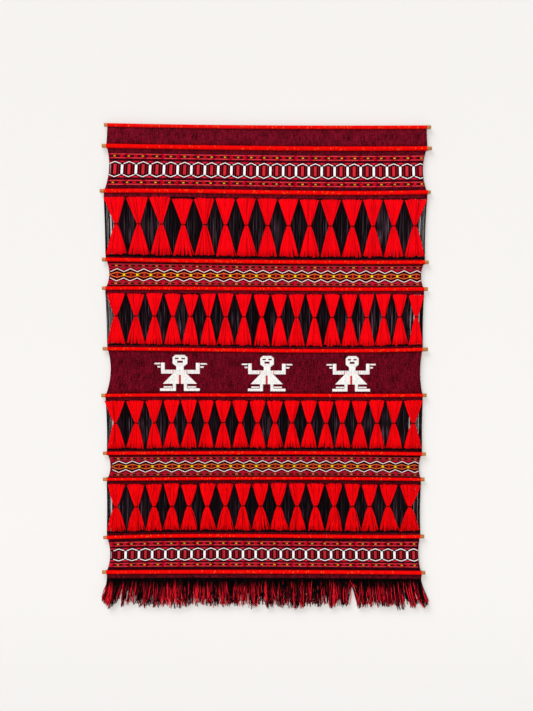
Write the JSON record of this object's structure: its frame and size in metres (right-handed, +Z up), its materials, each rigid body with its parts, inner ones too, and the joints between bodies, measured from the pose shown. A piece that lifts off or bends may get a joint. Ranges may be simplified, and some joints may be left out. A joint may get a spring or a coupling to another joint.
{
  "type": "woven wall hanging on bamboo sticks",
  "caption": "Red and black warp-faced wall hanging stiffened by bamboo sticks, with patterned bands, open rows of tied hourglass floats and a fringe along the bottom.",
  "frame": {"origin": "middle of the top stick, on its centre line", "axes": "+Z up the hanging, +X to the right seen from the front, -Y out of the front face"},
  "size_m": [0.4384, 0.0078, 0.638],
  "materials": {
    "bamboo": "satin",
    "cover_yarn": "soft sheen",
    "red_yarn": "soft sheen",
    "maroon_cloth": "matte",
    "fringe_yarn": "matte"
  },
  "bodies": {
    "root": {"stick_01": "bamboo", "stick_02": "bamboo", "stick_03": "bamboo", "stick_04": "bamboo", "stick_05": "bamboo", "stick_06": "bamboo", "stick_07": "bamboo", "stick_08": "bamboo", "stick_09": "bamboo", "stick_10": "bamboo", "stick_11": "bamboo", "stick_cover_01": "cover_yarn", "stick_cover_02": "cover_yarn", "stick_cover_03": "cover_yarn", "stick_cover_04": "cover_yarn", "stick_cover_05": "cover_yarn", "stick_cover_06": "cover_yarn", "stick_cover_07": "cover_yarn", "stick_cover_08": "cover_yarn", "stick_cover_09": "cover_yarn", "stick_cover_10": "cover_yarn", "stick_cover_11": "cover_yarn", "ground_cloth": "maroon_cloth", "tied_floats_1": "red_yarn", "tied_floats_2": "red_yarn", "tied_floats_3": "red_yarn", "tied_floats_4": "red_yarn", "fringe": "fringe_yarn"}
  },
  "joints": []
}
